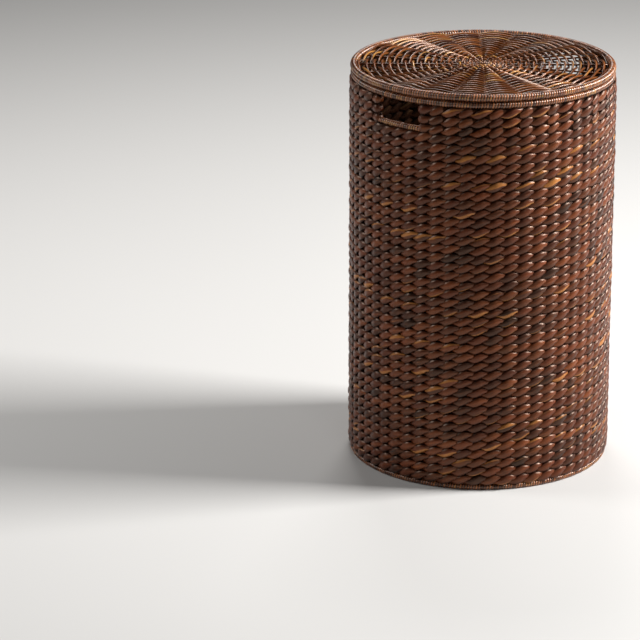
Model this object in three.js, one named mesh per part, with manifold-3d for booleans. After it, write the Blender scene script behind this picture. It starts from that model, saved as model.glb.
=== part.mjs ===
// Round woven laundry basket with two hand holes and a loose woven lid.
// Millimetres, +Z up, origin on the floor under the middle. The hand holes face +X and -X.
import * as THREE from 'three';
import Module from 'manifold-3d';
import { mergeVertices } from 'three/addons/utils/BufferGeometryUtils.js';

const wasm = await Module();
wasm.setup();

// Driving dimensions
const height = 660; // with the lid on
const diameter = 432; // over the rope of the wall
const wallThickness = 15; // two strands of rope
const stakeCount = 56; // uprights round the wall, and facets of every ring
const rowCount = 42;
const fullRows = 39; // rows that run all the way round, below the hand holes
const wallBands = 3; // the full rows are grouped in this many bands
const holeStakes = 3; // uprights that stop short under each hand hole
const gap = 0.3; // between pieces that touch

const baseRing = { size: 9, core: 6 }; // bound rings: thickness over the wrap, and of the cane inside
const rimRing = { size: 11, core: 8 };
const lidRing = { size: 12, core: 9 };
const locatingRing = { size: 8, core: 5.4, inset: 13.5 }; // inset from the lid's edge ring
const holeBar = { size: 9.4, core: 6.4 };
const stakeThickness = 4;
const lid = { sticks: 11, stick: 3.6, weave: 6.8, split: 104, knot: [18, 4, 1.8], knotTurn: -41 };
const floor = { sticks: 7, stick: 3.6, weave: 7.8, clearance: 1.2, split: 104 };

// Sizes worked out from those
const step = (2 * Math.PI) / stakeCount;
const outerRadius = diameter / 2;
const innerRadius = outerRadius - wallThickness;
const wallRadius = outerRadius - wallThickness / 2; // where the uprights and the rings' centres are
const rimBottom = height - lidRing.size - gap - rimRing.size;
const weaveBottom = baseRing.size + gap;
const rowPitch = (rimBottom - gap - weaveBottom) / rowCount;
const holeBottom = weaveBottom + fullRows * rowPitch;
const holeHalfAngle = ((holeStakes + 1) / 2) * step; // to the upright at each side of a hand hole
const ropeTurn = 4.5; // the rope's ends wrap this far past that upright
const openHalfAngle = holeHalfAngle - ropeTurn / wallRadius;
const lidPlane = height - lidRing.size / 2;
const locatingTop = lidPlane - lid.weave / 2 - gap;

const rope = { color: 0x4a2a1c, roughness: 0.7, metalness: 0 };
const ropeInside = { color: 0x38221a, roughness: 0.75, metalness: 0 };
const cane = { color: 0x6b4630, roughness: 0.6, metalness: 0 };
const wrap = { color: 0x3d2419, roughness: 0.5, metalness: 0 };
const reed = { color: 0x5a3826, roughness: 0.5, metalness: 0 };

const object = new THREE.Group();

function addMesh(name, geometry, finish) {
  const mesh = new THREE.Mesh(geometry, new THREE.MeshStandardMaterial(finish));
  mesh.name = name;
  object.add(mesh);
}

function toManifold(geometry) {
  const bare = new THREE.BufferGeometry();
  bare.setAttribute('position', geometry.getAttribute('position'));
  bare.setIndex(geometry.getIndex());
  const merged = mergeVertices(bare, 1e-3);
  return new wasm.Manifold(new wasm.Mesh({
    numProp: 3,
    vertProperties: new Float32Array(merged.getAttribute('position').array),
    triVerts: new Uint32Array(merged.getIndex().array),
  }));
}

function fromManifold(manifold) {
  const mesh = manifold.getMesh();
  const geometry = new THREE.BufferGeometry();
  geometry.setAttribute('position', new THREE.BufferAttribute(mesh.vertProperties, 3));
  geometry.setIndex(new THREE.BufferAttribute(mesh.triVerts, 1));
  geometry.computeVertexNormals();
  return geometry;
}

// A closed profile of [radius, z] pairs, counter-clockwise, turned round the Z axis
function ring(profile, facets = stakeCount) {
  const points = [...profile, profile[0]].map(([radius, z]) => new THREE.Vector2(radius, z));
  const geometry = new THREE.LatheGeometry(points, facets);
  geometry.rotateX(Math.PI / 2);
  return geometry;
}

function rectangleRing(inner, outer, bottom, top, facets) {
  return ring([[inner, bottom], [outer, bottom], [outer, top], [inner, top]], facets);
}

// The cane inside a bound ring, six-sided
function coreRing(radius, z, thickness, facets = stakeCount) {
  const profile = [];
  for (let i = 0; i < 6; i++) {
    const angle = (i * Math.PI) / 3;
    profile.push([radius + (thickness / 2) * Math.cos(angle), z + (thickness / 2) * Math.sin(angle)]);
  }
  return ring(profile, facets);
}

// The wrap of a bound ring: three sides round the cane, open where the uprights or spokes come in.
// open is the angle of that side, measured in the section from the outward direction.
function bindingRing(radius, z, { size, core }, open, facets = stakeCount) {
  const half = size / 2;
  const groove = core / 2 + gap;
  const section = [
    [half, -half], [half, half], [-half, half], [-half, -half],
    [-groove, -half], [-groove, groove], [groove, groove], [groove, -half],
  ];
  const cos = Math.cos(open + Math.PI / 2);
  const sin = Math.sin(open + Math.PI / 2);
  return ring(section.map(([u, v]) => [radius + u * cos - v * sin, z + u * sin + v * cos]), facets);
}

function polygon(radius, from, to, facets) {
  const points = [];
  for (let i = 0; i <= facets; i++) {
    const angle = from + ((to - from) * i) / facets;
    points.push(new THREE.Vector2(radius * Math.cos(angle), radius * Math.sin(angle)));
  }
  return points;
}

// Four-sided section of an upright at a stake's angle
function stakeSection(index, halfDiagonal) {
  const angle = index * step;
  const x = wallRadius * Math.cos(angle);
  const y = wallRadius * Math.sin(angle);
  const points = [];
  for (let i = 0; i < 4; i++) {
    const turn = angle + (i * Math.PI) / 2;
    points.push(new THREE.Vector2(x + halfDiagonal * Math.cos(turn), y + halfDiagonal * Math.sin(turn)));
  }
  return points;
}

function extrude(shape, bottom, top) {
  const geometry = new THREE.ExtrudeGeometry(shape, { depth: top - bottom, bevelEnabled: false });
  geometry.translate(0, 0, bottom);
  return geometry;
}

function stakeHole(index) {
  return new THREE.Path(stakeSection(index, stakeThickness / 2 + gap));
}

// Whether an upright stops short under a hand hole
function isShort(index) {
  const fromHole = Math.min(...[0, stakeCount / 2, stakeCount].map((hole) => Math.abs(index - hole)));
  return fromHole <= (holeStakes - 1) / 2;
}

// Rows of rope all the way round, with a channel for each upright
function wallBand(bottom, top) {
  const shape = new THREE.Shape(polygon(outerRadius, 0, 2 * Math.PI, stakeCount).slice(0, -1));
  shape.holes.push(new THREE.Path(polygon(innerRadius, 0, 2 * Math.PI, stakeCount).slice(0, -1)));
  for (let i = 0; i < stakeCount; i++) {
    shape.holes.push(stakeHole(i));
  }
  return extrude(shape, bottom, top);
}

// Rows that stop at the hand holes: one half of the basket, centred on the given side
function wallArc(side, bottom, top) {
  const from = side - Math.PI / 2 + openHalfAngle;
  const to = side + Math.PI / 2 - openHalfAngle;
  const facets = stakeCount / 2 - holeStakes - 1;
  const outline = [...polygon(outerRadius, from, to, facets), ...polygon(innerRadius, to, from, facets)];
  const shape = new THREE.Shape(outline);
  const middle = Math.round(side / step);
  const reach = (stakeCount / 2 - holeStakes - 1) / 2;
  for (let i = -reach; i <= reach; i++) {
    shape.holes.push(stakeHole(middle + i));
  }
  return extrude(shape, bottom, top);
}

// The base hoop with the uprights let into it
function stakeFrame(hoopZ, fullTop, shortTop) {
  let frame = toManifold(coreRing(wallRadius, hoopZ, baseRing.core));
  for (let i = 0; i < stakeCount; i++) {
    const section = new THREE.Shape(stakeSection(i, stakeThickness / 2));
    frame = frame.add(toManifold(extrude(section, hoopZ, isShort(i) ? shortTop : fullTop)));
  }
  return fromManifold(frame);
}

// The part of a ring that spans one hand hole, on the side at the given angle
function acrossHole(geometry, side) {
  const halfAngle = openHalfAngle - gap / wallRadius;
  const reach = 2 * outerRadius;
  const wedge = new THREE.Shape([
    new THREE.Vector2(0, 0),
    new THREE.Vector2(reach * Math.cos(side - halfAngle), reach * Math.sin(side - halfAngle)),
    new THREE.Vector2(reach * Math.cos(side + halfAngle), reach * Math.sin(side + halfAngle)),
  ]);
  return fromManifold(toManifold(geometry).intersect(toManifold(extrude(wedge, 0, height))));
}

// Crossed sticks joined where they meet, in one plane
function crossedSticks(count, length, thickness, z) {
  let sticks = null;
  for (let i = 0; i < count; i++) {
    const stick = new THREE.BoxGeometry(length, thickness, thickness);
    stick.rotateZ((i * Math.PI) / count);
    stick.translate(0, 0, z);
    sticks = sticks ? sticks.add(toManifold(stick)) : toManifold(stick);
  }
  return sticks;
}

// A flat ring of weave round the sticks, with a channel for each
function flatWeave(inner, outer, thickness, z, sticks, facets) {
  const disc = rectangleRing(inner, outer, z - thickness / 2, z + thickness / 2, facets);
  return fromManifold(toManifold(disc).subtract(sticks));
}

function addWall() {
  const bandHeight = (fullRows * rowPitch) / wallBands;
  for (let i = 0; i < wallBands; i++) {
    const bottom = weaveBottom + i * bandHeight;
    addMesh(`wall_weave_${i + 1}`, wallBand(bottom, bottom + bandHeight - gap), rope);
  }
  addMesh('wall_weave_front', wallArc(-Math.PI / 2, holeBottom, rimBottom - gap), rope);
  addMesh('wall_weave_back', wallArc(Math.PI / 2, holeBottom, rimBottom - gap), rope);
}

function addFrameAndRings() {
  const rimZ = rimBottom + rimRing.size / 2;
  const barZ = holeBottom + gap + holeBar.size / 2;
  const fullTop = rimZ - rimRing.core / 2 - gap;
  const shortTop = barZ - holeBar.core / 2 - gap;
  addMesh('stake_frame', stakeFrame(baseRing.size / 2, fullTop, shortTop), cane);
  addMesh('base_binding', bindingRing(wallRadius, baseRing.size / 2, baseRing, Math.PI / 2), wrap);
  addMesh('rim_hoop', coreRing(wallRadius, rimZ, rimRing.core), cane);
  addMesh('rim_binding', bindingRing(wallRadius, rimZ, rimRing, -Math.PI / 2), wrap);
  for (const [name, side] of [['right', 0], ['left', Math.PI]]) {
    const bar = coreRing(wallRadius, barZ, holeBar.core);
    const binding = bindingRing(wallRadius, barZ, holeBar, -Math.PI / 2);
    addMesh(`hand_hole_bar_${name}`, acrossHole(bar, side), cane);
    addMesh(`hand_hole_binding_${name}`, acrossHole(binding, side), wrap);
  }
}

function addFloor() {
  const radius = wallRadius - baseRing.size / 2 - gap;
  const z = floor.clearance + floor.weave / 2;
  const sticks = crossedSticks(floor.sticks, 2 * radius, floor.stick, z);
  const channels = crossedSticks(floor.sticks, 2 * outerRadius, floor.stick + 2 * gap, z);
  const inner = floor.stick * 4;
  addMesh('floor_spokes', fromManifold(sticks), cane);
  addMesh('floor_weave_inner',
    flatWeave(inner, floor.split, floor.weave, z, channels, stakeCount / 2), ropeInside);
  addMesh('floor_weave_outer',
    flatWeave(floor.split + gap, radius, floor.weave, z, channels, stakeCount), ropeInside);
}

function addLid() {
  const radius = wallRadius - lidRing.size / 2 - gap;
  const hoopInside = (wallRadius - lidRing.core / 2) * Math.cos(step / 2); // at the middle of a facet
  const reach = hoopInside - gap;
  const sticks = crossedSticks(lid.sticks, 2 * reach, lid.stick, lidPlane);
  const channels = crossedSticks(lid.sticks, 2 * outerRadius, lid.stick + 2 * gap, lidPlane);
  const inner = lid.stick * 6;
  const locatingRadius = wallRadius - locatingRing.inset;
  const locatingZ = locatingTop - locatingRing.size / 2;
  const [knotLength, knotWidth, knotHeight] = lid.knot;
  const knot = new THREE.BoxGeometry(knotLength, knotWidth, knotHeight);
  knot.rotateZ((lid.knotTurn * Math.PI) / 180);
  knot.translate(0, 0, lidPlane + lid.stick / 2 + gap + knotHeight / 2);

  addMesh('lid_hoop', coreRing(wallRadius, lidPlane, lidRing.core), cane);
  addMesh('lid_edge_binding', bindingRing(wallRadius, lidPlane, lidRing, Math.PI), wrap);
  addMesh('lid_spokes', fromManifold(sticks), reed);
  addMesh('lid_weave_inner',
    flatWeave(inner, lid.split, lid.weave, lidPlane, channels, stakeCount / 2), reed);
  addMesh('lid_weave_outer',
    flatWeave(lid.split + gap, radius, lid.weave, lidPlane, channels, stakeCount), reed);
  addMesh('locating_hoop',
    coreRing(locatingRadius, locatingZ, locatingRing.core, stakeCount / 2), cane);
  addMesh('locating_binding',
    bindingRing(locatingRadius, locatingZ, locatingRing, Math.PI / 2, stakeCount / 2), wrap);
  addMesh('centre_knot', knot, wrap);
}

addWall();
addFrameAndRings();
addFloor();
addLid();

export default object;
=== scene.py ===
import bpy
import bmesh
import math
import numpy as np
from mathutils import Matrix, Vector


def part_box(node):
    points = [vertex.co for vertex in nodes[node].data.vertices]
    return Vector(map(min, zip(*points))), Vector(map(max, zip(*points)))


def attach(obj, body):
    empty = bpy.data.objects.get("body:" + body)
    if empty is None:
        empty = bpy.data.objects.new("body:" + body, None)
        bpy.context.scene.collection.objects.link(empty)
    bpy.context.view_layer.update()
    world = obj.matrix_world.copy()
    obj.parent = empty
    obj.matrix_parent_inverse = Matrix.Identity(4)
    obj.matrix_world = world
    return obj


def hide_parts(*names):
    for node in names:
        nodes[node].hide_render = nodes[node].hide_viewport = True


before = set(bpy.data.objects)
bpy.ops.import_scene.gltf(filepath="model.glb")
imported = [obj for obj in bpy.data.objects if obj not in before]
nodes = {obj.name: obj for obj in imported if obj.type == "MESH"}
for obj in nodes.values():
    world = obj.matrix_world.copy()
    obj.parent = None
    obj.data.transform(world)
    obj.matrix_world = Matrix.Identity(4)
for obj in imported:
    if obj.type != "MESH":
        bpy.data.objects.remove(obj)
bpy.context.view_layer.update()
mm = 0.001

# sizes read off the frame
bandLow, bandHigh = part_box("wall_weave_1")
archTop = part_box("wall_weave_front")[1].z
outerRadius = bandHigh.x
wallHalf = 7.5 * mm  # half the thickness of the rope wall
wallRadius = outerRadius - wallHalf  # middle of the rope wall, where the stakes stand
rowCount = 42
fullRows = 39  # the last three rows stop at the hand holes
stakeCount = 56
stakeStep = 2 * math.pi / stakeCount
rowPitch = (archTop - bandLow.z) / rowCount
lidMiddle = (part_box("lid_hoop")[0].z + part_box("lid_hoop")[1].z) / 2
endGap = 0.2 * mm  # a cane stops this far short of what it meets

# camera: viewAngle turns it round the basket, panned and tilted to put the basket right of the middle
viewAngle = math.radians(-50.9)
camera = {"away": 5.6, "height": 2.106, "lens": 201.0, "pan": -2.693, "tilt": 18.643}


def fromView(right, back, up):
    # a place given as seen from the camera, turned into the frame
    c, s = math.cos(viewAngle), math.sin(viewAngle)
    return Vector((right * c - back * s, right * s + back * c, up))


cameraData = bpy.data.cameras.new("camera")
cameraData.lens = camera["lens"]
cameraData.sensor_width = 36
cameraData.clip_end = 60
cameraObject = bpy.data.objects.new("camera", cameraData)
bpy.context.scene.collection.objects.link(cameraObject)
pan, tilt = math.radians(camera["pan"]), math.radians(camera["tilt"])
look = fromView(math.sin(pan) * math.cos(tilt), math.cos(pan) * math.cos(tilt), -math.sin(tilt))
cameraObject.location = fromView(0, -camera["away"], camera["height"])
cameraObject.rotation_euler = look.to_track_quat("-Z", "Y").to_euler()
bpy.context.scene.camera = cameraObject
print("camera placed")


def toLinear(hexColour):
    parts = [int(hexColour[n:n + 2], 16) / 255 for n in (0, 2, 4)]
    return [p / 12.92 if p <= 0.04045 else ((p + 0.055) / 1.055) ** 2.4 for p in parts] + [1]


def addNode(tree, kind, settings=None, links=None):
    node = tree.nodes.new(kind)
    for key, value in (settings or {}).items():
        if isinstance(key, str) and hasattr(node, key):
            setattr(node, key, value)
        else:
            node.inputs[key].default_value = toLinear(value) if isinstance(value, str) else value
    for key, source in (links or {}).items():
        tree.links.new(source, node.inputs[key])
    return node


# A stained plant fibre. The mesh carries three attributes: fibreCoord (mm along the strand, and round it),
# stainPaint (how light, how red, how golden) and edging (how open the surface is, which sets how much painted
# shade it gets, how far it is from the golden strip, and whether it faces the inside of the basket).
def stainedFibre(name, coat):
    material = bpy.data.materials.new(name)
    material.use_nodes = True
    tree = material.node_tree
    tree.nodes.clear()
    coord = addNode(tree, "ShaderNodeAttribute", {"attribute_name": "fibreCoord"})
    paint = addNode(tree, "ShaderNodeAttribute", {"attribute_name": "stainPaint"})
    edging = addNode(tree, "ShaderNodeAttribute", {"attribute_name": "edging"})
    stain = addNode(tree, "ShaderNodeSeparateXYZ", links={0: paint.outputs["Vector"]})
    edge = addNode(tree, "ShaderNodeSeparateXYZ", links={0: edging.outputs["Vector"]})
    # long fibres: fine across the strand, stretched along it
    stretch = addNode(tree, "ShaderNodeMapping", {"Scale": [1 / s for s in coat["fibre"]]},
                      {"Vector": coord.outputs["Vector"]})
    fibre = addNode(tree, "ShaderNodeTexNoise", {"Scale": 1, "Detail": 3, "Roughness": 0.6},
                    {"Vector": stretch.outputs[0]})
    blotchSize = addNode(tree, "ShaderNodeMapping", {"Scale": [1 / s for s in coat["blotch"]]},
                         {"Vector": coord.outputs["Vector"]})
    blotch = addNode(tree, "ShaderNodeTexNoise", {"Scale": 1, "Detail": 2}, {"Vector": blotchSize.outputs[0]})
    # lightness: the strand's own, with streaks and blotches on top
    streak = addNode(tree, "ShaderNodeMath", {"operation": "MULTIPLY_ADD", 1: coat["streak"],
                                              2: -coat["streak"] / 2}, {0: fibre.outputs[0]})
    patch = addNode(tree, "ShaderNodeMath", {"operation": "MULTIPLY_ADD", 1: coat["patch"],
                                             2: -coat["patch"] / 2}, {0: blotch.outputs[0]})
    light = addNode(tree, "ShaderNodeMath", {"operation": "ADD"}, {0: stain.outputs[0], 1: streak.outputs[0]})
    lighter = addNode(tree, "ShaderNodeMath", {"operation": "ADD", "use_clamp": True},
                      {0: light.outputs[0], 1: patch.outputs[0]})
    brown = addNode(tree, "ShaderNodeMix", {"data_type": "RGBA", 6: coat["dark"], 7: coat["pale"]},
                    {0: lighter.outputs[0]})
    red = addNode(tree, "ShaderNodeMix", {"data_type": "RGBA", 7: coat["red"]},
                  {0: stain.outputs[1], 6: brown.outputs[2]})
    # a golden strip of leaf skin the stain didn't take
    square = addNode(tree, "ShaderNodeMath", {"operation": "POWER", 1: 2}, {0: stain.outputs[2]})
    halfWidth = addNode(tree, "ShaderNodeMath", {"operation": "MULTIPLY", 1: 1.3}, {0: square.outputs[0]})
    offEdge = addNode(tree, "ShaderNodeMath", {"operation": "ABSOLUTE"}, {0: edge.outputs[1]})
    within = addNode(tree, "ShaderNodeMath", {"operation": "SUBTRACT"},
                     {0: halfWidth.outputs[0], 1: offEdge.outputs[0]})
    feathered = addNode(tree, "ShaderNodeMath", {"operation": "MULTIPLY_ADD", 1: 0.5, 2: -0.27},
                        {0: fibre.outputs[0]})
    ragged = addNode(tree, "ShaderNodeMath", {"operation": "ADD"},
                     {0: within.outputs[0], 1: feathered.outputs[0]})
    strip = addNode(tree, "ShaderNodeMapRange",
                    {"From Min": 0.0, "From Max": 0.22, "To Max": coat["goldShare"]},
                    {"Value": ragged.outputs[0]})
    golden = addNode(tree, "ShaderNodeMix", {"data_type": "RGBA", 7: coat["gold"]},
                     {0: strip.outputs[0], 6: red.outputs[2]})
    # painted shade: the colour goes towards the near-black crease colour where the surface is not open, where
    # strands meet and in grooves
    creaseShaded = addNode(tree, "ShaderNodeMix", {"data_type": "RGBA", 6: coat["creaseShade"]},
                      {0: edge.outputs[0], 7: golden.outputs[2]})
    sheen = addNode(tree, "ShaderNodeMapRange", {"To Min": coat["rough"][0], "To Max": coat["rough"][1]},
                    {"Value": fibre.outputs[0]})
    relief = addNode(tree, "ShaderNodeBump", {"Strength": coat["relief"], "Distance": coat["deep"] * mm},
                     {"Height": fibre.outputs[0]})
    shader = addNode(tree, "ShaderNodeBsdfPrincipled", {"IOR": 1.5, "Specular IOR Level": coat["level"],
                                                        "Specular Tint": coat["gloss"],
                                                        "Coat Weight": coat["lacquer"],
                                                        "Coat Roughness": coat["lacquerRough"]},
                     {"Base Color": creaseShaded.outputs[2], "Roughness": sheen.outputs[0],
                      "Normal": relief.outputs[0]})
    addNode(tree, "ShaderNodeOutputMaterial", links={0: shader.outputs[0]})
    return material


# Water hyacinth stalk, twisted, walnut stained, satin finished: long soft fibres, broad highlights, golden
# strips. Folds are 2.4 mm apart across the strand, coarser than real fibres so that they show, and 22 mm
# long.
# The crease colour in each coat is the near-black of the painted shade in grooves and where strands meet.
ropeMaterial = stainedFibre("water_hyacinth_twisted_walnut_stained", {
    "dark": "150602", "pale": "7a3d19", "red": "662810", "gold": "bd7a3c", "creaseShade": "010000",
    "fibre": (22, 2.4, 2.4), "blotch": (22, 5, 5), "streak": 1.6, "patch": 0.6, "goldShare": 0.85,
    "rough": (0.29, 0.45), "relief": 0.9, "deep": 0.65, "level": 0.6, "gloss": "ffd9bf",
    "lacquer": 0.0, "lacquerRough": 0.25})
# The same stalk on the faces towards the inside of the basket, with no lacquer, so it hardly shines, and its
# colours set darker as painted shade for the shadowed inside.
shadedInsideMaterial = stainedFibre("water_hyacinth_twisted_unlacquered_painted_shade", {
    "dark": "0d0502", "pale": "3a2012", "red": "30150a", "gold": "523820", "creaseShade": "010000",
    "fibre": (22, 2.4, 2.4), "blotch": (22, 5, 5), "streak": 1.5, "patch": 0.5, "goldShare": 0.6,
    "rough": (0.6, 0.8), "relief": 0.8, "deep": 0.65, "level": 0.12, "gloss": "ffb98c",
    "lacquer": 0.0, "lacquerRough": 0.4})
# The floor's rope, the same stalk with one coat of stain and no lacquer: a paler, dry brown.
floorMaterial = stainedFibre("water_hyacinth_twisted_one_coat", {
    "dark": "22130a", "pale": "86552f", "red": "643018", "gold": "9a6e3c", "creaseShade": "060201",
    "fibre": (22, 2.4, 2.4), "blotch": (22, 5, 5), "streak": 1.5, "patch": 0.5, "goldShare": 0.6,
    "rough": (0.55, 0.75), "relief": 0.8, "deep": 0.65, "level": 0.3, "gloss": "ffd9bf",
    "lacquer": 0.0, "lacquerRough": 0.4})
# Split rattan skin wound tight and lacquered: narrow glossy bands, ochre to nearly black. Grain 0.7 mm apart.
wrapMaterial = stainedFibre("rattan_skin_split_wound_lacquered", {
    "dark": "140602", "pale": "b87648", "red": "80391a", "gold": "bd8646", "creaseShade": "010000",
    "fibre": (0.7, 9, 9), "blotch": (9, 9, 9), "streak": 0.35, "patch": 0.3, "goldShare": 0.7,
    "rough": (0.24, 0.38), "relief": 0.25, "deep": 0.4, "level": 0.7, "gloss": "ffe0cc",
    "lacquer": 0.35, "lacquerRough": 0.16})
# Round rattan reed, peeled, stained and lacquered: smooth and glossy, grain 0.8 mm apart along the reed.
reedMaterial = stainedFibre("rattan_reed_round_stained_lacquered", {
    "dark": "150602", "pale": "8a4f22", "red": "662c12", "gold": "b88440", "creaseShade": "010000",
    "fibre": (30, 0.8, 0.8), "blotch": (40, 4, 4), "streak": 0.4, "patch": 0.35, "goldShare": 0.7,
    "rough": (0.22, 0.34), "relief": 0.2, "deep": 0.4, "level": 0.55, "gloss": "ffd9bf",
    "lacquer": 0.12, "lacquerRough": 0.13})


# Rattan core, sawn off and stained, dull: long grain 1.2 mm apart. It reads Object coordinates in metres.
def caneCore(name, coat):
    material = bpy.data.materials.new(name)
    material.use_nodes = True
    tree = material.node_tree
    tree.nodes.clear()
    place = addNode(tree, "ShaderNodeTexCoord")
    stretch = addNode(tree, "ShaderNodeMapping", {"Scale": [1 / (s * mm) for s in coat["grain"]]},
                      {"Vector": place.outputs["Object"]})
    grain = addNode(tree, "ShaderNodeTexNoise", {"Scale": 1, "Detail": 4}, {"Vector": stretch.outputs[0]})
    colour = addNode(tree, "ShaderNodeMix", {"data_type": "RGBA", 6: coat["dark"], 7: coat["pale"]},
                     {0: grain.outputs[0]})
    relief = addNode(tree, "ShaderNodeBump", {"Strength": 0.3, "Distance": 0.3 * mm},
                     {"Height": grain.outputs[0]})
    shader = addNode(tree, "ShaderNodeBsdfPrincipled", {"Roughness": coat["rough"], "IOR": 1.5},
                     {"Base Color": colour.outputs[2], "Normal": relief.outputs[0]})
    addNode(tree, "ShaderNodeOutputMaterial", links={0: shader.outputs[0]})
    return material


uprightMaterial = caneCore("rattan_core_sawn_stained_upright",
                           {"dark": "24130c", "pale": "4b2c1d", "grain": (1.2, 1.2, 20), "rough": 0.62})
hoopMaterial = caneCore("rattan_core_steam_bent_stained",
                        {"dark": "24130c", "pale": "4b2c1d", "grain": (4, 4, 1.2), "rough": 0.62})
for node, material in {"stake_frame": uprightMaterial, "rim_hoop": hoopMaterial, "lid_hoop": hoopMaterial,
                       "hand_hole_bar_left": hoopMaterial, "hand_hole_bar_right": hoopMaterial}.items():
    nodes[node].data.materials.clear()
    nodes[node].data.materials.append(material)
print("materials made")

plainRopes = {}


# One plain ring, spun in short arcs that are copied round and joined, or one tube bent nearly into a ring
def spinRing(along, sides, closed):
    step = 2 * math.pi / (along if closed else along + 1)
    arcSteps = max(d for d in range(1, 65) if along % d == 0) if closed else along - 1
    arc = bmesh.new()
    stand = Matrix.Translation((1, 0, 0)) @ Matrix.Rotation(math.pi / 2, 4, "X")
    circle = bmesh.ops.create_circle(arc, segments=sides, radius=0.1, matrix=stand)["verts"]
    bmesh.ops.spin(arc, geom=circle + arc.edges[:], cent=(0, 0, 0), axis=(0, 0, 1), angle=step * arcSteps,
                   steps=arcSteps, use_merge=False)
    if not closed:
        bmesh.ops.holes_fill(arc, edges=[e for e in arc.edges if e.is_boundary], sides=0)
    # The spin leaves its faces in another order each run, so they are put in order of their corners
    arc.verts.index_update()
    count = len(arc.verts)
    arc.faces.sort(key=lambda f: min(v.index for v in f.verts) * count + max(v.index for v in f.verts))
    arcMesh = bpy.data.meshes.new("arc")
    arc.to_mesh(arcMesh)
    arc.free()
    turns = along // arcSteps if closed else 1
    return copyAround(arcMesh, [Matrix.Rotation(step * arcSteps * n, 4, "Z") for n in range(turns)], "ring")


def copyAround(part, places, name):
    bm = bmesh.new()
    for place in places:
        before = len(bm.verts)
        bm.from_mesh(part)
        bm.verts.ensure_lookup_table()
        bmesh.ops.transform(bm, matrix=place, verts=bm.verts[before:])
    bmesh.ops.remove_doubles(bm, verts=bm.verts[:], dist=0.0002)
    bmesh.ops.recalc_face_normals(bm, faces=bm.faces[:])
    for face in bm.faces:
        face.smooth = True
    mesh = bpy.data.meshes.new(name)
    bm.to_mesh(mesh)
    bm.free()
    return mesh


# Rings standing one above another, made once: every rope, wrap and reed is a copy laid along its own path
def getPlainRopes(strands, along, sides, closed):
    key = (strands, along, sides, closed)
    if key in plainRopes:
        return plainRopes[key]
    step = 2 * math.pi / (along if closed else along + 1)
    ring = spinRing(along, sides, closed)
    mesh = copyAround(ring, [Matrix.Translation((0, 0, n)) for n in range(strands)], "plainRopes")
    co = np.empty(len(mesh.vertices) * 3)
    mesh.vertices.foreach_get("co", co)
    x, y, z = co.reshape(-1, 3).T
    strand = np.rint(z).astype(int)
    turn = (np.arctan2(y, x) + 0.001) % (2 * math.pi) - 0.001
    k = np.rint(turn / step).astype(int) % (along if closed else along + 1)
    side = np.rint(np.arctan2(z - strand, np.hypot(x, y) - 1) / (2 * math.pi) * sides).astype(int) % sides
    if len(mesh.vertices) != strands * along * sides:
        raise ValueError("the spun rings did not close")
    plainRopes[key] = (mesh, strand, k, side)
    return plainRopes[key]


def finishPiece(mesh, material, body, standsFor, within=None):
    for m in filter(None, (material, within)):
        mesh.materials.append(m)
    piece = bpy.data.objects.new(mesh.name, mesh)
    bpy.context.scene.collection.objects.link(piece)
    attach(piece, body)
    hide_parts(standsFor)
    return piece


# Each strand gives its path and its half thickness and half height along it, in metres,
# with its stain: tone, red, gold, stripe (where the golden strip is), and open (painted shade, full at 0 in a
# groove)
def layRopes(name, strands, sides, closed=True):
    mesh, strand, k, side = getPlainRopes(len(strands), len(strands[0]["path"]), sides, closed)
    mesh = mesh.copy()
    mesh.name = name
    count = len(k)
    co, coord, paint, edging = (np.zeros((count, 3)) for _ in range(4))
    for n, s in enumerate(strands):
        path = np.asarray(s["path"])
        ahead = np.roll(path, -1, 0) - np.roll(path, 1, 0) if closed else np.gradient(path, axis=0)
        hop = np.linalg.norm(ahead, axis=1, keepdims=True) / 2
        ahead = ahead / (2 * hop)
        out = np.cross(ahead, (0, 0, 1))
        out /= np.linalg.norm(out, axis=1, keepdims=True)
        up = np.cross(out, ahead)
        mine = strand == n
        i, a = k[mine], 2 * math.pi * side[mine] / sides
        c, h = np.cos(a), np.sin(a)
        full = s.get("full", 1.0)
        co[mine] = (path[i] + out[i] * (s["wide"][i] * np.sign(c) * np.abs(c) ** full)[:, None]
                    + up[i] * (s["high"][i] * np.sign(h) * np.abs(h) ** full)[:, None]
                    + ahead[i] * (s.get("lean", 0) * h)[:, None])
        length = np.cumsum(hop[:, 0]) / mm + s.get("start", 0)
        girth = (s["wide"].mean() + s["high"].mean()) / 2 / mm
        coord[mine] = np.stack([length[i], c * girth, h * girth], 1)
        paint[mine] = np.stack([s["tone"][i], s["red"][i], s["gold"][i]], 1)
        inside = s.get("inside", np.zeros(len(path)))[i] * np.clip(-2 * c + 0.4, 0, 1)
        # painted shade: the surface goes darker towards the strand's upper and lower edges, where it meets
        # the next row, more sharply as edge rises
        unshaded = s["open"][i] * np.abs(c) ** s.get("edge", 0)
        edging[mine] = np.stack([unshaded, h - s["stripe"][i], inside], 1)
    mesh.vertices.foreach_set("co", co.ravel())
    for label, values in (("fibreCoord", coord), ("stainPaint", paint), ("edging", edging)):
        mesh.attributes.new(label, "FLOAT_VECTOR", "POINT").data.foreach_set("vector", values.ravel())
    # faces that look into the basket take the second material, the copy whose colours are painted darker as
    # shade
    if "inside" in strands[0]:
        corners = np.empty(len(mesh.loops), int)
        mesh.loops.foreach_get("vertex_index", corners)
        within = edging[corners, 2].reshape(-1, 4).mean(1) > 0.5
        mesh.polygons.foreach_set("material_index", within.astype(int))
    mesh.update()
    return mesh


def roundPath(radius, angle, height):
    return np.stack([radius * np.cos(angle), radius * np.sin(angle), height + 0 * angle], 1)


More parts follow.
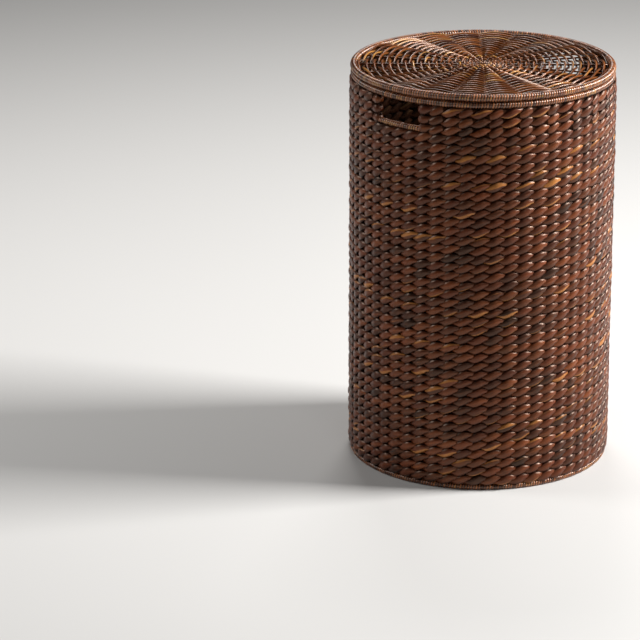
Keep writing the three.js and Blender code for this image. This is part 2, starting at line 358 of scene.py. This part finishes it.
# Stain for a run of leaves or wraps: the tone drifts in runs, and golden strips come in short runs too
def stainRun(count, rng, stain):
    tone = rng.normal(stain["tone"], stain["spread"], count)
    red = rng.uniform(0, stain["red"], count)
    gold = np.zeros(count)
    stripe = np.zeros(count)
    at = 0
    while at < count:
        run = int(rng.integers(*stain["run"]))
        tone[at:at + run] += rng.normal(0, stain["drift"])
        red[at:at + run] += rng.uniform(0, stain["red"])
        if rng.random() < stain["goldRuns"]:
            gold[at:at + run] = rng.uniform(*stain["gold"]) * rng.uniform(0.6, 1, len(gold[at:at + run]))
            stripe[at:at + run] = rng.choice([-1, 1]) * rng.uniform(0.35, 0.8)
        at += run
    return {"tone": np.clip(tone, 0, 1), "red": np.clip(red, 0, 1), "gold": np.clip(gold, 0, 1),
            "stripe": stripe}


changeOver = 2.2  # radians from the middle of a leaf to where the next one starts to take over


# A value for each leaf, changing over from one leaf to the next where the strand is behind a stake
def overLeaves(values, phase):
    count = len(values)
    leaf = np.floor((phase + math.pi) / (2 * math.pi)).astype(int)
    local = phase - 2 * math.pi * leaf
    share = np.clip((np.abs(local) - changeOver) / (math.pi - changeOver), 0, 1)
    share = share * share * (3 - 2 * share) / 2
    beside = leaf + np.where(local > 0, 1, -1)
    return values[leaf % count] * (1 - share) + values[beside % count] * share


# The twined rows: two strands of rope cross between every pair of stakes
# edge sets how sharply the painted shade darkens the leaves towards their upper and lower edges
rope = {"out": 3.4, "rise": 3.9, "lead": 0.3, "thick": (4.2, 5.0), "tall": (7.1, 4.35), "hold": 3.0,
        "full": 0.84, "edge": 2.0, "samplesPerLeaf": 16, "sides": 12, "jitter": 0.35, "seed": 4107,
        "stain": {"tone": 0.41, "spread": 0.25, "red": 0.32, "drift": 0.18, "run": (1, 4), "goldRuns": 0.24,
                  "gold": (0.3, 0.9)}}


# phase is 0 where the strand is outside a stake and pi where it is inside one
def ropeStrand(angle, phase, rise, middle, leaves, rng):
    cross = np.abs(np.sin(phase)) ** (2 * rope["hold"])
    stain = stainRun(leaves, rng, rope["stain"])
    shift = overLeaves(rng.normal(0, rope["jitter"], leaves), phase)
    bulge = overLeaves(rng.normal(0, rope["jitter"], leaves), phase)
    swell = overLeaves(rng.normal(1, 0.04, leaves), phase)
    radius = wallRadius + (rope["out"] * np.cos(phase - rope["lead"]) + bulge) * mm
    strand = {"path": roundPath(radius, angle, middle + (rise + shift) * mm),
              "wide": (rope["thick"][0] + (rope["thick"][1] - rope["thick"][0]) * cross) * swell * mm,
              "high": (rope["tall"][0] + (rope["tall"][1] - rope["tall"][0]) * cross) * swell * mm,
              "full": rope["full"], "edge": rope["edge"], "open": np.ones(len(angle)),
              "inside": np.clip(0.8 - 1.2 * np.cos(phase), 0, 1),
              "start": rng.uniform(0, 5000)}
    for key, values in stain.items():
        strand[key] = overLeaves(values, phase)
    return strand


waves = stakeCount // 2
ringPlace = 2 * math.pi * np.arange(waves * rope["samplesPerLeaf"]) / (waves * rope["samplesPerLeaf"])
for row in range(fullRows):
    middle = bandLow.z + (row + 0.5) * rowPitch
    strands = []
    for n in range(2):
        rng = np.random.default_rng(rope["seed"] + 10 * row + n)
        angle = ringPlace + (math.pi / waves if n == 0 else 0)
        phase = waves * angle + math.pi * n
        strands.append(ropeStrand(angle, phase, rope["rise"] * np.sin(phase), middle, waves, rng))
    mesh = layRopes(f"wall_row_{row + 1:02d}", strands, rope["sides"])
    band = f"wall_weave_{row * 3 // fullRows + 1}"
    finishPiece(mesh, ropeMaterial, "basket", band, shadedInsideMaterial)
print("full rows laid")

# The top three rows stop at the hand holes: each is one rope that turns back round the last stake
arch = {"reach": 12, "turn": 3.6, "samplesPerStake": 8, "turnSamples": 8}
for sideName, centre in (("front", -math.pi / 2), ("back", math.pi / 2)):
    for row in range(fullRows, rowCount):
        middle = bandLow.z + (row + 0.5) * rowPitch
        rng = np.random.default_rng(rope["seed"] + 10 * row + (5 if sideName == "back" else 0))
        reach, turns = arch["reach"], arch["turnSamples"]
        run = np.linspace(-reach, reach, 2 * reach * arch["samplesPerStake"] + 1)
        bend = np.pi * np.arange(1, turns) / turns
        stakes = np.concatenate([run, np.full(turns - 1, reach), run[::-1], np.full(turns - 1, -reach)])
        phase = np.pi * np.concatenate([run, reach + bend / np.pi, 2 * reach + 1 - run[::-1],
                                        3 * reach + 1 + bend / np.pi])
        past = np.concatenate([0 * run, np.sin(bend), 0 * run, -np.sin(bend)])
        ease = np.clip((reach - np.abs(stakes)) * 1.3, 0, 1)
        outward = np.where(np.arange(len(phase)) < len(run), 1, -1)
        rise = rope["rise"] * np.sin(np.pi * stakes) * ease * outward
        angle = centre + stakes * stakeStep + past * arch["turn"] * mm / wallRadius
        strand = ropeStrand(angle, phase, rise, middle, 2 * reach + 1, rng)
        # the ends turn square round the stake, with no lead
        at = wallRadius + rope["out"] * np.cos(phase) * mm
        bending = np.abs(past) > 0
        strand["path"][bending, :2] = roundPath(at[bending], angle[bending], 0)[:, :2]
        mesh = layRopes(f"wall_row_{row + 1:02d}_{sideName}", [strand], rope["sides"])
        finishPiece(mesh, ropeMaterial, "basket", f"wall_weave_{sideName}", shadedInsideMaterial)
print("rows beside the hand holes laid")

# Split cane wound round the hoops, each wrap a rounded band with a groove beside it, the groove painted dark
# as shade. The real wraps are about 3.4 mm apart, and these are coarser so that they show. The cane skin is
# 1.3 to
# 1.5 mm thick over the hoop, and the groove stays inside it
wrap = {"pitch": 4.3, "samples": 8, "sides": 12, "groove": 0.85, "lean": 0.9, "crown": 0.6, "seed": 88,
        "stain": {"tone": 0.52, "spread": 0.34, "red": 0.3, "drift": 0.14, "run": (1, 4), "goldRuns": 0.22,
                  "gold": (0.45, 1.0)}}


def woundStrand(path, half, wraps, rng):
    place = np.arange(len(path)) % wrap["samples"] / wrap["samples"]
    crown = np.sin(np.pi * place) ** wrap["crown"]
    thick = (half - wrap["groove"] * (1 - crown)) * mm
    # open paints the groove between wraps dark, as painted shade
    strand = {"path": path, "wide": thick, "high": thick, "lean": wrap["lean"] * mm,
              "open": np.clip(2.4 * crown - 1.25, 0, 1), "start": rng.uniform(0, 900)}
    for key, values in stainRun(wraps, rng, wrap["stain"]).items():
        strand[key] = values[np.minimum(np.arange(len(path)) // wrap["samples"], wraps - 1)]
    strand["stripe"] = 0 * strand["stripe"]
    return strand


hoops = {"rim_wrap": ("rim_binding", "basket"), "base_wrap": ("base_binding", "basket"),
         "lid_edge_wrap": ("lid_edge_binding", "lid"), "locating_wrap": ("locating_binding", "lid")}
for n, (name, (node, body)) in enumerate(hoops.items()):
    low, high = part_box(node)
    half = (high.z - low.z) / 2
    radius = high.x - half
    wraps = round(2 * math.pi * radius / (wrap["pitch"] * mm))
    angle = 2 * math.pi * np.arange(wraps * wrap["samples"]) / (wraps * wrap["samples"])
    path = roundPath(radius, angle, (low.z + high.z) / 2)
    strand = woundStrand(path, half / mm, wraps, np.random.default_rng(wrap["seed"] + n))
    finishPiece(layRopes(name, [strand], wrap["sides"]), wrapMaterial, body, node)

# The locating ring's own cane, truly round, so that it stays inside its round wrap
low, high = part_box("locating_binding")
coreLow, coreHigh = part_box("locating_hoop")
count = 360
angle = 2 * math.pi * np.arange(count) / count
half = np.full(count, (coreHigh.z - coreLow.z) / 2)
core = {"path": roundPath(high.x - (high.z - low.z) / 2, angle, (low.z + high.z) / 2),
        "wide": half, "high": half, "open": np.ones(count), "stripe": np.ones(count),
        "tone": np.full(count, 0.4), "red": np.zeros(count), "gold": np.zeros(count)}
finishPiece(layRopes("locating_core", [core], 8), hoopMaterial, "lid", "locating_hoop")

for n, (sideName, centre) in enumerate((("right", 0), ("left", math.pi))):
    node = f"hand_hole_binding_{sideName}"
    low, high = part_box(node)
    half = (high.z - low.z) / 2
    reach = math.asin(high.y / wallRadius) - 0.3 * mm / wallRadius
    wraps = round(2 * reach * wallRadius / (wrap["pitch"] * mm))
    angle = centre + np.linspace(-reach, reach, wraps * wrap["samples"] + 1)
    strand = woundStrand(roundPath(wallRadius, angle, (low.z + high.z) / 2), half / mm, wraps,
                         np.random.default_rng(wrap["seed"] + 20 + n))
    finishPiece(layRopes(f"hand_hole_wrap_{sideName}", [strand], wrap["sides"], closed=False),
                wrapMaterial, "basket", node)
print("hoops wound")

# The lid: rings of round reed go over one stake and under the next, and each ring starts the other way
reed = {"first": 12.5, "pitch": 6.28, "rings": 31, "half": 1.78, "stake": 1.6, "stakes": 22, "samples": 8,
        "sides": 8, "seed": 730, "splitRing": 15,
        "stain": {"tone": 0.42, "spread": 0.2, "red": 0.2, "drift": 0.24, "run": (2, 7), "goldRuns": 0.42,
                  "gold": (0.4, 0.9)}}
samples = reed["stakes"] * reed["samples"]
angle = 2 * math.pi * np.arange(samples) / samples
rings = []
for ring in range(reed["rings"]):
    rng = np.random.default_rng(reed["seed"] + ring)
    radius = reed["first"] + ring * reed["pitch"]
    swing = (reed["half"] + reed["stake"] - 0.2) * min(1, 0.45 + radius / 60) * (-1) ** ring
    over = np.cos(reed["stakes"] / 2 * angle)
    half = min(reed["half"], 1.5 + radius / 60) * mm
    # open paints each reed darker where it dips under a stake, as painted shade
    strand = {"path": roundPath(radius * mm, angle, lidMiddle + swing * mm * over),
              "wide": np.full(samples, half), "high": np.full(samples, half),
              "open": np.clip(0.65 + 0.75 * over * (-1) ** ring, 0.04, 1), "start": rng.uniform(0, 3000)}
    stain = stainRun(reed["stakes"], rng, reed["stain"])
    for key, values in stain.items():
        strand[key] = np.interp(np.arange(samples) / reed["samples"], np.arange(reed["stakes"] + 1),
                                np.append(values, values[0]))
    rings.append(strand)
split = reed["splitRing"]
finishPiece(layRopes("lid_reed_inner", rings[:split], reed["sides"]), reedMaterial, "lid",
            "lid_weave_inner")
finishPiece(layRopes("lid_reed_outer", rings[split:], reed["sides"]), reedMaterial, "lid",
            "lid_weave_outer")


# Straight canes crossing at the middle, evenly turned
def roundSticks(name, count, reach, half, middle, material, body, node, seed):
    rng = np.random.default_rng(seed)
    points = 25
    along = np.linspace(-reach, reach, points)
    sticks = []
    for n in range(count):
        turn = math.pi * n / count
        level = np.full(points, middle)
        path = np.stack([along * math.cos(turn), along * math.sin(turn), level], 1)
        sticks.append({"path": path, "wide": np.full(points, half), "high": np.full(points, half),
                       "open": np.ones(points), "tone": np.full(points, rng.uniform(0.25, 0.5)),
                       "red": np.full(points, rng.uniform(0, 0.4)), "gold": np.zeros(points),
                       "stripe": np.ones(points), "start": rng.uniform(0, 900)})
    finishPiece(layRopes(name, sticks, 8, closed=False), material, body, node)


roundSticks("lid_stakes", reed["stakes"] // 2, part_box("lid_spokes")[1].x - endGap, reed["stake"] * mm,
            lidMiddle, reedMaterial, "lid", "lid_spokes", 61)

# The tie at the middle: a short bar of cane wound over the crossing stakes
knot = {"long": 19, "half": 2.0, "turn": -41, "wraps": 6}
along = np.linspace(-knot["long"] / 2, knot["long"] / 2, knot["wraps"] * wrap["samples"] + 1) * mm
turn = math.radians(knot["turn"])
arc = 1 - (along / along[-1]) ** 2
path = np.stack([along * math.cos(turn), along * math.sin(turn),
                 lidMiddle + (reed["stake"] + 0.2 + 1.2 * arc) * mm], 1)
strand = woundStrand(path, knot["half"], knot["wraps"], np.random.default_rng(5))
strand["high"] = strand["high"] * (0.45 + 0.3 * arc)
strand["wide"] = strand["wide"] * (0.6 + 0.4 * arc)
strand["lean"] = 0
finishPiece(layRopes("lid_knot", [strand], 8, closed=False), wrapMaterial, "lid", "centre_knot")
print("lid woven")

# The floor: rings of twisted rope on crossed canes
floor = {"outer": 196.6, "pitch": 14.2, "rings": 13, "samples": 288, "swing": 3.2, "lift": 1.3,
         "wide": 4.6, "high": 2.5, "twist": 48, "cane": 1.7, "canes": 7, "seed": 915, "splitRing": 6}
floorLow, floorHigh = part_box("floor_weave_outer")
floorMiddle = (floorLow.z + floorHigh.z) / 2
angle = 2 * math.pi * np.arange(floor["samples"]) / floor["samples"]
bundles = []
for ring in range(floor["rings"]):
    radius = floor["outer"] - ring * floor["pitch"]
    twists = max(3, round(2 * math.pi * radius / floor["twist"]))
    for n in range(2):
        rng = np.random.default_rng(floor["seed"] + 2 * ring + n)
        phase = twists * angle + math.pi * n
        strand = {"path": roundPath((radius + floor["swing"] * np.cos(phase)) * mm, angle,
                                    floorMiddle + floor["lift"] * mm * np.sin(phase)),
                  "wide": np.full(len(angle), floor["wide"] * mm),
                  "high": np.full(len(angle), floor["high"] * mm),
                  "open": np.full(len(angle), 0.9), "start": rng.uniform(0, 3000)}
        for key, values in stainRun(twists, rng, rope["stain"]).items():
            strand[key] = overLeaves(values, phase)
        bundles.append(strand)
split = 2 * floor["splitRing"]
finishPiece(layRopes("floor_rope_outer", bundles[:split], 8), floorMaterial, "basket",
            "floor_weave_outer")
finishPiece(layRopes("floor_rope_inner", bundles[split:], 8), floorMaterial, "basket",
            "floor_weave_inner")
roundSticks("floor_canes", floor["canes"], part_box("floor_spokes")[1].x - endGap, floor["cane"] * mm,
            floorMiddle, reedMaterial, "basket", "floor_spokes", 62)
print("floor woven")


# Studio: a pale floor, a soft key light on the right, a weaker one on the left, one in front, and one above
# and behind
ground = bmesh.new()
bmesh.ops.create_grid(ground, x_segments=1, y_segments=1, size=30)
groundMesh = bpy.data.meshes.new("studio_floor")
ground.to_mesh(groundMesh)
ground.free()
groundObject = bpy.data.objects.new("studio_floor", groundMesh)
bpy.context.scene.collection.objects.link(groundObject)
paper = bpy.data.materials.new("studio_paper_matt")
paper.use_nodes = True
paper.node_tree.nodes.clear()
paperShader = addNode(paper.node_tree, "ShaderNodeBsdfPrincipled", {"Base Color": "cccac7", "Roughness": 0.9})
addNode(paper.node_tree, "ShaderNodeOutputMaterial", links={0: paperShader.outputs[0]})
groundMesh.materials.append(paper)

lamps = {"key": {"at": (2.9, 0.05, 2.3), "size": 1.2, "power": 270, "aim": 0.5},
         "fill": {"at": (-2.9, 0.1, 1.8), "size": 1.0, "power": 38, "aim": 0.35},
         "front": {"at": (1.2, -4.3, 2.8), "size": 1.6, "power": 18, "aim": 0.5},
         "top": {"at": (-0.2, 2.0, 2.8), "size": 1.0, "power": 40, "aim": 0.6}}
for name, lamp in lamps.items():
    data = bpy.data.lights.new(name, "AREA")
    data.size = lamp["size"]
    data.energy = lamp["power"]
    lampObject = bpy.data.objects.new(name, data)
    bpy.context.scene.collection.objects.link(lampObject)
    lampObject.location = fromView(*lamp["at"])
    toward = Vector((0, 0, lamp["aim"])) - lampObject.location
    lampObject.rotation_euler = toward.to_track_quat("-Z", "Y").to_euler()
world = bpy.data.worlds.new("studio")
bpy.context.scene.world = world
world.use_nodes = True
world.node_tree.nodes.clear()
sky = addNode(world.node_tree, "ShaderNodeBackground", {"Color": "f4f5f8", "Strength": 0.04})
addNode(world.node_tree, "ShaderNodeOutputWorld", links={0: sky.outputs[0]})
bpy.context.scene.view_settings.view_transform = "Standard"
print("studio lit")
